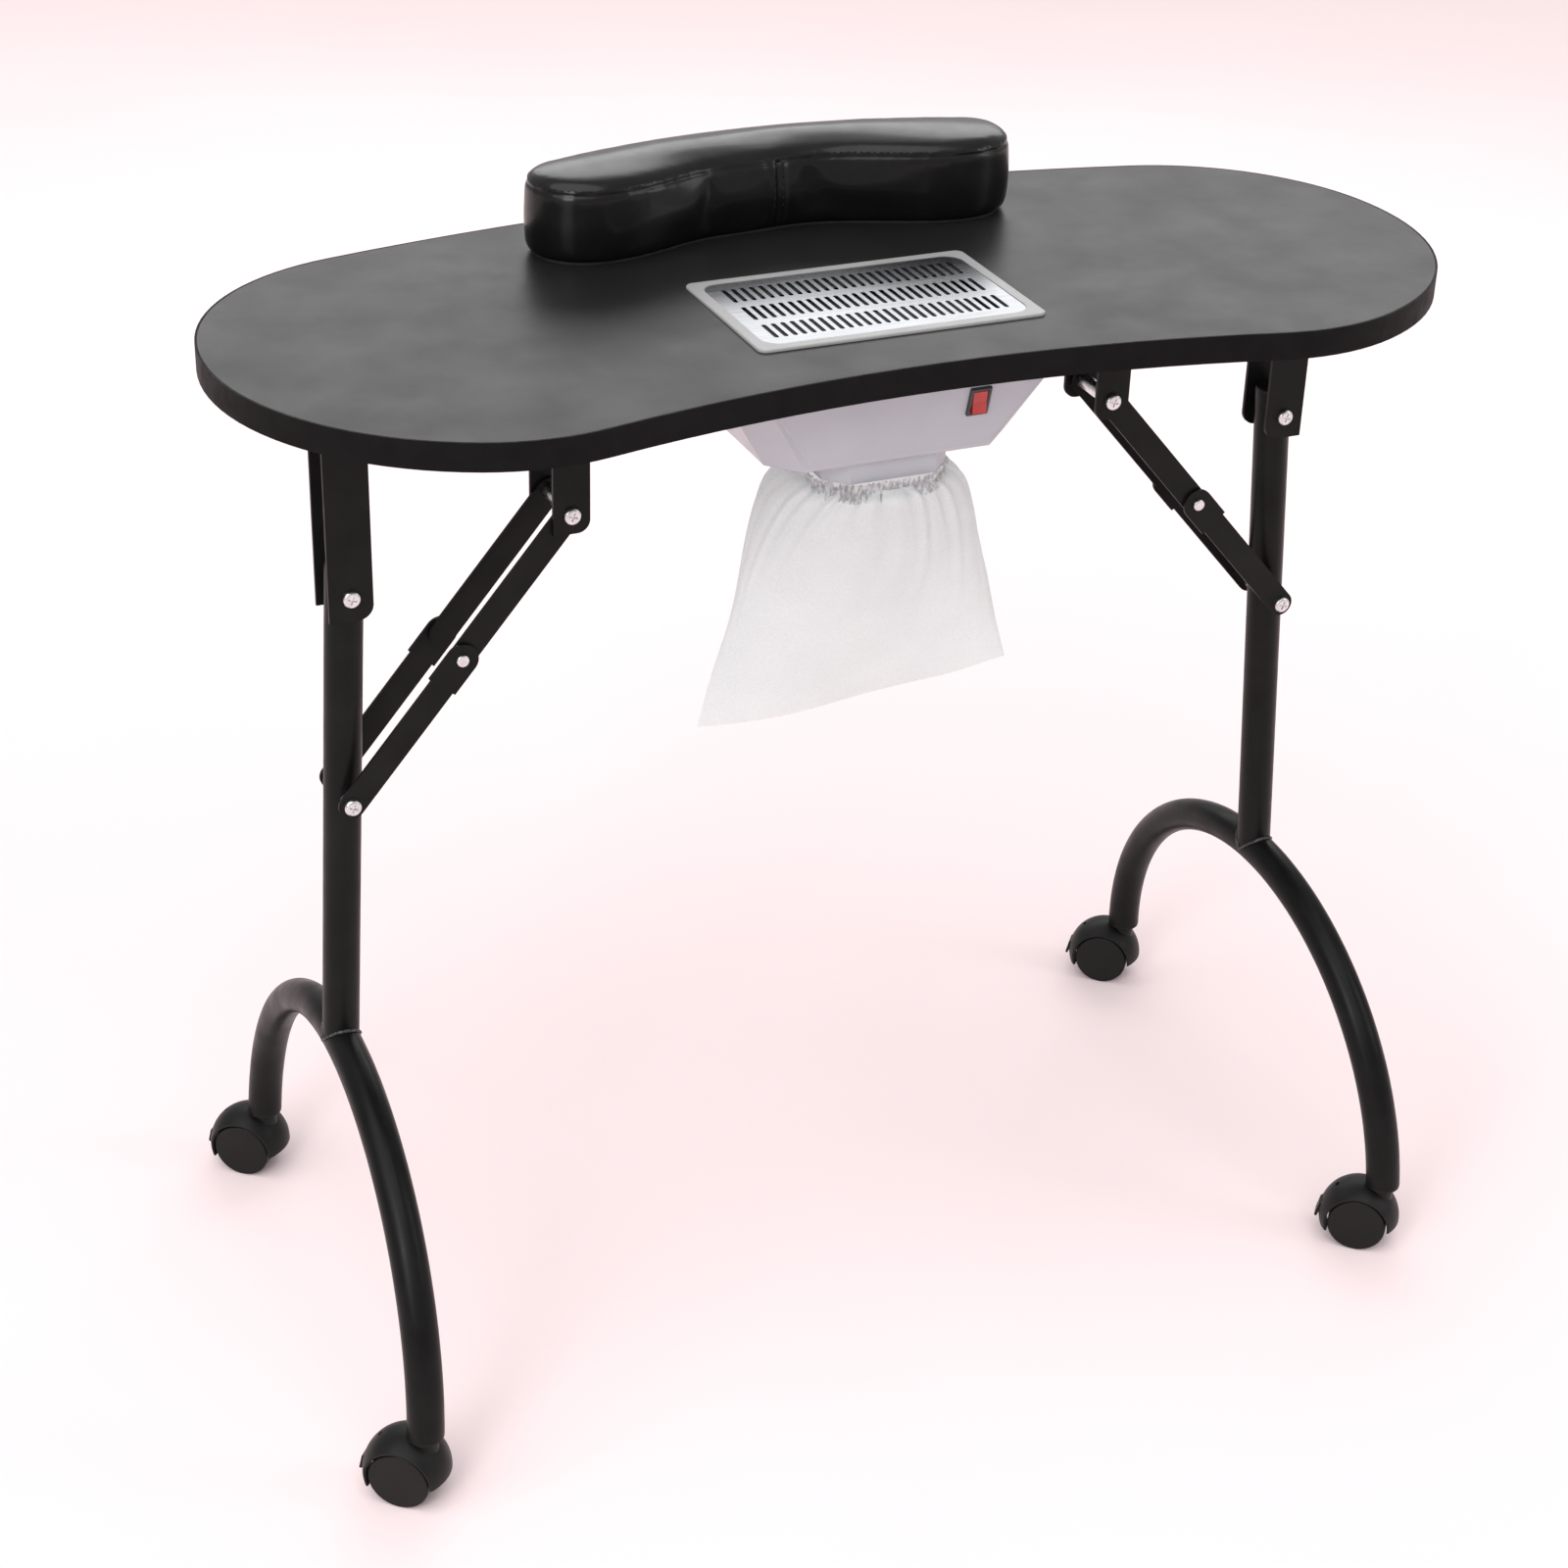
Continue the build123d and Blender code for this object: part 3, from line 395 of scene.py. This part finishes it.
def finish_cad_nodes():
    """Every CAD node takes the material of its record slot."""
    finishes = {
        "laminate": laminate_material(),
        "edge_band": edge_band_material(),
        "vent_frame": moulded_material(
            "vent_white", 0.33, 0.37, 0.30, 0.40, coat=0.05, subsurface=0.1, shine=0.35
        ),
        "grille_steel": steel_sheet_material(),
        "housing": moulded_material(
            "housing_lilac", (0.40, 0.42, 0.46), (0.45, 0.47, 0.51), 0.34, 0.46, coat=0.15, subsurface=0.08
        ),
        "fan_plastic": moulded_material("fan_black", 0.008, 0.014, 0.4, 0.55, shine=0.3),
        "fan_motor": zinc_material(),
        "switch_black": moulded_material("switch_black", 0.010, 0.018, 0.3, 0.42, coat=0.2),
        "rocker_red": rocker_material(),
        "rest_board": wood_board_material(),
        "tube_paint": paint_material("tube_paint", 0.004, 0.008, 0.30, 0.42),
        "bracket_paint": paint_material("bracket_paint", 0.005, 0.009, 0.36, 0.50),
        "plug_plastic": moulded_material("plug_plastic", 0.006, 0.011, 0.42, 0.56, shine=0.2),
        "caster_plastic": moulded_material("caster_plastic", 0.006, 0.011, 0.38, 0.52, shine=0.2),
        "wheel_nylon": moulded_material("wheel_nylon", 0.006, 0.010, 0.34, 0.48, shine=0.2),
    }
    finishes["zinc"] = finishes["fan_motor"]
    for row in frame["record"]["subparts"]:
        finish = finishes.get(row["material_slot"])
        mesh = NODES[row["node"]].data
        if finish:
            mesh.materials.clear()
            mesh.materials.append(finish)


# ---- wrist rest -------------------------------------------------------------------------
REST_TREE = surface_tree(NODES["wrist_rest_cushion"])
REST_HALF = (REST_HIGH.x - REST_LOW.x) / 2
REST_MIDDLE_Z = (REST_LOW.z + REST_HIGH.z) / 2
REST_FOOT_Z = TOP_HIGH.z + 0.4 * MM
SPINE_REACH = REST_HALF - 46 * MM      # the middle line stops this far along, so the ends fan round
SEAM_DROP = 9.5 * MM
REST_EDGE_R = 11 * MM          # rounding of the top edge
REST_CROWN = 1.2 * MM
REST_INSET = 2.2 * MM          # room left for the cushion to swell into
REST_VOXEL = 4 * MM
REST_SWELL = 5 * MM            # furthest a point may swell
FRONT_SEAM_HALF = 3.4 * MM     # from the front seam to its stitches on each side


def spine_at(x):
    """Point on the wrist rest's middle line at x, held back from the rounded ends."""
    x = max(-SPINE_REACH, min(SPINE_REACH, x))
    inside = Vector((x, REST_HIGH.y - 30 * MM, REST_MIDDLE_Z))
    front = REST_TREE.ray_cast(inside, Vector((0, -1, 0)))[0]
    back = REST_TREE.ray_cast(inside, Vector((0, 1, 0)))[0]
    return Vector((x, (front.y + back.y) / 2))


def rest_outline(count, outset=0.0):
    """Plan outline of the wrist rest, evenly spaced and anticlockwise."""
    centre = Vector((0, REST_HIGH.y - 45 * MM, REST_MIDDLE_Z))
    rays = 1440
    rough = []
    for i in range(rays):
        angle = 2 * math.pi * i / rays
        place = REST_TREE.ray_cast(centre, Vector((math.cos(angle), math.sin(angle), 0)))[0]
        rough.append(Vector((place.x, place.y)))
    rough.append(rough[0])
    lengths = [0.0]
    for p, q in zip(rough, rough[1:]):
        lengths.append(lengths[-1] + (q - p).length)
    even, k = [], 0
    for i in range(count):
        want = lengths[-1] * i / count
        while lengths[k + 1] < want:
            k += 1
        share = (want - lengths[k]) / (lengths[k + 1] - lengths[k])
        even.append(rough[k].lerp(rough[k + 1], share))
    moved = []
    for i, p in enumerate(even):
        along = even[(i + 2) % count] - even[i - 2]
        moved.append(p + Vector((along.y, -along.x)).normalized() * outset)
    return moved


def cushion_shell(inset):
    """Closed starting shape of the cushion: rounded top edge, straight sides, flat foot."""
    outline = rest_outline(320, -inset)
    count = len(outline)
    spine = [spine_at(p.x) for p in outline]
    top = REST_HIGH.z - REST_CROWN
    round_r = REST_EDGE_R
    levels = [(share, 0.0, REST_FOOT_Z) for share in (0.98, 0.7, 0.4, 0.15)]
    levels.append((0.0, 4.5 * MM, REST_FOOT_Z))
    levels.append((0.0, 1.4 * MM, REST_FOOT_Z + 2.5 * MM))
    side_rows = 8
    side_low = REST_FOOT_Z + 6 * MM
    for i in range(side_rows + 1):
        levels.append((0.0, 0.0, side_low + (top - round_r - side_low) * i / side_rows))
    for i in range(1, 6):
        angle = math.radians(18 * i)
        levels.append((0.0, round_r * (1 - math.cos(angle)), top - round_r * (1 - math.sin(angle))))
    for share in (0.15, 0.4, 0.7, 0.98):
        levels.append((share, round_r * (1 - share), top + REST_CROWN * share))
    rows = []
    for share, inward, z in levels:
        row = []
        for p, q in zip(outline, spine):
            flat = p + (q - p).normalized() * inward
            flat = flat.lerp(q, share)
            row.append((flat.x, flat.y, z))
        rows.append(row)
    vertices = [v for row in rows for v in row]
    faces = grid_faces(len(rows), count, True)
    faces.append(tuple(reversed(range(count))))
    faces.append(tuple(range((len(rows) - 1) * count, len(rows) * count)))
    return vertices, faces


def puff(piece, pressure, cap, frames=20):
    """Swells a closed mesh with cloth pressure and caps how far each point moves."""
    start = [v.co.copy() for v in piece.data.vertices]
    cloth = piece.modifiers.new("cloth", "CLOTH")
    cloth.settings.use_pressure = True
    cloth.settings.uniform_pressure_force = pressure
    cloth.settings.effector_weights.gravity = 0
    cloth.settings.tension_stiffness = 20
    cloth.settings.compression_stiffness = 20
    cloth.settings.bending_stiffness = 4
    cloth.settings.quality = 6
    pins = piece.vertex_groups.new(name="pins")
    low = [v.index for v in piece.data.vertices if v.co.z < REST_FOOT_Z + 4 * MM]
    pins.add(low, 1.0, "REPLACE")
    cloth.settings.vertex_group_mass = "pins"
    cloth.point_cache.frame_start = 1
    cloth.point_cache.frame_end = frames
    for step in range(1, frames + 1):
        bpy.context.scene.frame_set(step)
    apply_modifier(piece, cloth)
    for vertex, before in zip(piece.data.vertices, start):
        moved = vertex.co - before
        if moved.length > cap:
            vertex.co = before + moved.normalized() * cap
    piece.vertex_groups.clear()
    bpy.context.scene.frame_set(1)


def tuck_seams(piece):
    """Draws the seam lines in and leaves small puckers beside them."""
    seam_z = REST_HIGH.z - SEAM_DROP
    mesh = piece.data
    normals = [v.normal.copy() for v in mesh.vertices]
    for vertex, normal in zip(mesh.vertices, normals):
        p = vertex.co
        side = 1 - abs(normal.z)
        ring = math.exp(-(((p.z - seam_z) / (1.3 * MM)) ** 2)) * side
        roll = math.exp(-(((p.z - seam_z - 4.5 * MM) / (3.0 * MM)) ** 2)) * side
        front = 1.0 if normal.y < -0.5 and p.z < seam_z else 0.0
        upright = math.exp(-((p.x / (1.4 * MM)) ** 2)) * front
        cheeks = math.exp(-(((abs(p.x) - 4.0 * MM) / (2.2 * MM)) ** 2)) * front
        pucker = noise.noise(Vector((p.x * 95, p.y * 95, p.z * 16)))
        near_seam = math.exp(-(((p.z - seam_z + 7 * MM) / (9 * MM)) ** 2)) * side
        broad = noise.noise(Vector((p.x * 22, p.y * 22, p.z * 26 + 5)))
        belly = math.sin(math.pi * smooth_step(REST_FOOT_Z, seam_z, p.z)) * side
        lift = -0.9 * ring + 0.4 * roll - 1.2 * upright + 0.5 * cheeks + 0.9 * belly
        lift += 0.25 * pucker * near_seam + 0.45 * broad * side + 0.2 * broad
        foot = smooth_step(REST_FOOT_Z + 1 * MM, REST_FOOT_Z + 6 * MM, p.z)
        vertex.co = p + normal * lift * MM * foot
    mesh.update()


def stitches(name, path, material, length=3.0 * MM, gap=1.3 * MM, thick=0.42 * MM):
    """Row of short thread stitches laid along a list of (point, outward normal)."""
    vertices, faces = [], []
    travelled, start = 0.0, path[0]
    sides, rings = 6, 5
    marks = []
    for (p, n), (q, m) in zip(path, path[1:]):
        travelled += (q - p).length
        if travelled >= length + gap:
            marks.append((start, (q, m)))
            start, travelled = (q, m), 0.0
    for (p, n), (q, m) in marks:
        along = (q - p).normalized()
        centre = (p + q) / 2
        up = (n + m).normalized()
        across = along.cross(up).normalized()
        first = len(vertices)
        for r in range(rings):
            t = r / (rings - 1) * 2 - 1
            swell = math.sqrt(max(0.0, 1 - t**4)) * 0.9 + 0.1
            rise = 0.35 * MM * (1 - t * t) - 0.25 * MM
            for s in range(sides):
                a = 2 * math.pi * s / sides
                sideways = across * math.cos(a) * thick * swell
                upward = up * (math.sin(a) * thick * 0.7 * swell + rise)
                vertices.append(centre + along * t * length / 2 + (sideways + upward))
        for face in grid_faces(rings, sides, True):
            faces.append(tuple(first + i for i in face))
        faces.append(tuple(first + i for i in reversed(range(sides))))
        faces.append(tuple(first + (rings - 1) * sides + i for i in range(sides)))
    return new_object(name, vertices, faces, material)


def surface_path(tree, points):
    """Drops (start, direction) rays on to a surface and keeps where they land."""
    found = []
    for start, direction in points:
        place, normal, _, _ = tree.ray_cast(start, direction)
        if place is not None:
            found.append((place, normal))
    return found


def make_cushion(material, thread):
    vertices, faces = cushion_shell(REST_INSET)
    piece = new_object("wrist_rest_pad", vertices, faces, material)
    remesh = piece.modifiers.new("remesh", "REMESH")
    remesh.mode = "VOXEL"
    remesh.voxel_size = REST_VOXEL
    apply_modifier(piece, remesh)
    puff(piece, pressure=4.0, cap=REST_SWELL)
    relax = piece.modifiers.new("relax", "SMOOTH")
    relax.iterations = 3
    apply_modifier(piece, relax)
    fine = piece.modifiers.new("fine", "SUBSURF")
    fine.levels = fine.render_levels = 2
    apply_modifier(piece, fine)
    piece.data.polygons.foreach_set("use_smooth", [True] * len(piece.data.polygons))
    tuck_seams(piece)
    for vertex in piece.data.vertices:
        vertex.co.z = max(vertex.co.z, REST_FOOT_Z)
    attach(piece, "wrist_rest")
    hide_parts("wrist_rest_cushion")
    tree = surface_tree(piece)
    seam_z = REST_HIGH.z - SEAM_DROP
    rays = []
    ring = rest_outline(900, 12 * MM)
    ring.append(ring[0])
    foot_ring = rest_outline(900)
    foot_ring.append(foot_ring[0])
    for p, q in zip(ring, foot_ring):
        rays.append((Vector((p.x, p.y, seam_z + 2.6 * MM)), Vector((q.x - p.x, q.y - p.y, 0)).normalized()))
    parts = [stitches("rest_top_stitching", surface_path(tree, rays), thread)]
    for k, x in enumerate((-FRONT_SEAM_HALF, FRONT_SEAM_HALF)):
        heights = [seam_z - 1.5 * MM - i * 1.0 * MM for i in range(34)]
        rays = [(Vector((x, REST_LOW.y - 40 * MM, z)), Vector((0, 1, 0))) for z in heights]
        parts.append(stitches(f"rest_front_stitching_{k + 1}", surface_path(tree, rays), thread))
    for part in parts:
        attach(part, "wrist_rest")


# ---- dust bag ---------------------------------------------------------------------------
BAG_X = (BAG_LOW.x + BAG_HIGH.x) / 2
BAG_Y = (HEM_LOW.y + HEM_HIGH.y) / 2
BAG_NECK = (HEM_HIGH.x - HEM_LOW.x) / 2
BAG_FOOT = (BAG_HIGH.x - BAG_LOW.x) / 2
BAG_SHOULDER = 68 * MM
BAG_DEEPEST = 55.5 * MM
BAG_SEAM = 1.4 * MM
BAG_LIFT = 17.0 * MM          # how much higher the right side of the foot hangs
HEM_INSET = 1.6 * MM
HEM_DROP = 13.0 * MM


def bag_girth(share):
    """Half width and half depth of the bag at a share of its drop."""
    width = BAG_NECK + (BAG_SHOULDER - BAG_NECK) * (1 - math.exp(-share / 0.05))
    width += (BAG_FOOT - BAG_SHOULDER) * share
    depth = BAG_DEEPEST * (1 - share) ** 0.9 * (1 - 0.15 * math.exp(-share / 0.04)) + BAG_SEAM * share
    return width, depth


def bag_point(angle, share, top_z, length):
    """Point on the bag: pleats run down from the neck and die out towards the foot."""
    width, depth = bag_girth(share)
    flat = 1.0 - 0.35 * share
    c, s = math.cos(angle), math.sin(angle)
    x = width * math.copysign(abs(c) ** flat, c)
    y = depth * math.copysign(abs(s) ** (1 + 0.3 * share), s)
    wander = noise.noise(Vector((c * 1.4, s * 1.4, share * 1.8)))
    pleat = math.sin(27 * angle + 5 * wander) + 0.5 * math.sin(41 * angle + 9 * wander)
    fade = math.exp(-share * 5.0) * smooth_step(0.0, 0.02, share) + 0.06 * (1 - share)
    radial = Vector((c, s, 0)) * pleat * 1.8 * MM * fade
    soft = noise.noise_vector(Vector((c * 1.7 + 3, s * 1.7, share * 3.2))) * 3.2 * MM
    soft *= smooth_step(0.03, 0.35, share) * (1 - 0.5 * share)
    sway = Vector((0, 2.6 * MM * math.sin(x * 42 + 1.2) * smooth_step(0.4, 1.0, share), 0))
    hang = 4.0 * MM * math.sin(x * 19 + 0.8) * smooth_step(0.6, 1.0, share)
    shoulder = 3.0 * MM * math.exp(-(((share - 0.05) / 0.05) ** 2))
    lifted = BAG_LIFT * smooth_step(-0.08, 0.13, x) * share
    z = top_z - length * share + shoulder * 0.3 - hang * 0.6 + lifted
    return Vector((BAG_X + x, BAG_Y + y, z)) + radial + soft + sway


def make_bag(material, hem_material):
    top_z = HEM_LOW.z + 2.5 * MM
    length = top_z - BAG_LOW.z - 2 * MM
    rows, columns = 110, 300
    grid = []
    for r in range(rows):
        share = r / (rows - 1)
        grid.append([bag_point(2 * math.pi * c / columns, share, top_z, length) for c in range(columns)])
    bag = grid_object("dust_bag_cloth", grid, material, closed=True)
    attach(bag, "table")
    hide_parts("dust_bag")
    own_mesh(bag)

    hem_rows, hem_columns = 18, 1080
    hem = []
    half = (HEM_HIGH.x - HEM_LOW.x) / 2
    for r in range(hem_rows):
        share = r / (hem_rows - 1)
        row = []
        for c in range(hem_columns):
            angle = 2 * math.pi * c / hem_columns
            c_x, c_y = math.cos(angle), math.sin(angle)
            square = 1 / max(abs(c_x), abs(c_y), (abs(c_x) + abs(c_y)) / 1.58)
            wander = noise.noise(Vector((c_x * 4, c_y * 4, 2.0)))
            gather = math.sin(71 * angle + 9 * wander) + 0.5 * math.sin(127 * angle + 6 * wander)
            flare = 1 - math.exp(-((share - 0.45) / 0.3) ** 2)
            reach = half * min(square, 1.16) - HEM_INSET + (0.5 + 1.5 * flare) * MM
            reach += gather * (0.35 + 0.7 * flare) * MM
            lift = 0.8 * MM * noise.noise(Vector((angle * 9, share * 2, 7.0)))
            z = HEM_HIGH.z - 0.4 * MM - share * HEM_DROP + lift
            row.append((BAG_X + reach * c_x, BAG_Y + reach * c_y, z))
        hem.append(row)
    ruffle = grid_object("bag_gathered_hem", hem, hem_material, closed=True)
    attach(ruffle, "table")
    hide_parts("bag_elastic")


# ---- welds ------------------------------------------------------------------------------
def make_weld(side, material):
    """Rippled bead where a post stands on the crown of its arch."""
    arch_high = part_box(f"leg_arch_{side}")[1]
    sign = -1 if side == "left" else 1
    joint = next(j for j in frame["joints"] if j["name"] == f"leg_fold_{side}")
    lean = math.radians(joint["range_deg"][1] - 90)
    pivot = Vector(joint["pos_m"])
    down = Vector((sign * math.sin(lean), 0, -math.cos(lean)))
    across = Vector((math.cos(lean), 0, sign * math.sin(lean)))
    reach = (arch_high.z - TUBE_R - pivot.z) / down.z
    crown = pivot + down * reach
    ring, sides, bead = 96, 8, 1.5 * MM
    vertices, faces = [], []
    for i in range(ring):
        angle = 2 * math.pi * i / ring
        x, y = math.cos(angle), math.sin(angle)
        centre = crown + across * x * TUBE_R + Vector((0, y * TUBE_R, 0)) - down * TUBE_R * abs(y)
        away = (across * x + Vector((0, y, 0))).normalized()
        ripple = 1 + 0.16 * math.sin(angle * 34) + 0.12 * noise.noise(Vector((x * 3, y * 3, 1)))
        for s in range(sides):
            a = 2 * math.pi * s / sides
            vertices.append(centre + (away * math.cos(a) - down * math.sin(a)) * bead * ripple)
    for i in range(ring):
        j = (i + 1) % ring
        for s in range(sides):
            t = (s + 1) % sides
            faces.append((i * sides + s, i * sides + t, j * sides + t, j * sides + s))
    weld = new_object(f"post_weld_{side}", vertices, faces, material)
    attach(weld, f"leg_{side}")


def main():
    make_camera()
    make_studio()
    finish_cad_nodes()
    make_cushion(leather_material(), thread_material())
    cloth_shades = [(0.3, (0.83, 0.89, 0.89)), (0.7, (0.90, 0.96, 0.96))]
    # The dark grey streaks in the hem's colour are painted shade in the crinkles of the gathered elastic; the
    # light grey is the cloth itself.
    hem_crease_painted_shade = [(0.40, (0.22, 0.22, 0.25)), (0.62, (0.86, 0.88, 0.88))]
    cloth = bag_material("bag_cloth", 0.97, [(30.0, 4), cloth_shades])
    hem = bag_material("bag_hem", 1.0, [(420.0, 3, 0.6, (1, 1, 0.5)), hem_crease_painted_shade])
    make_bag(cloth, hem)
    for side in ("left", "right"):
        make_weld(side, weld_material())


main()
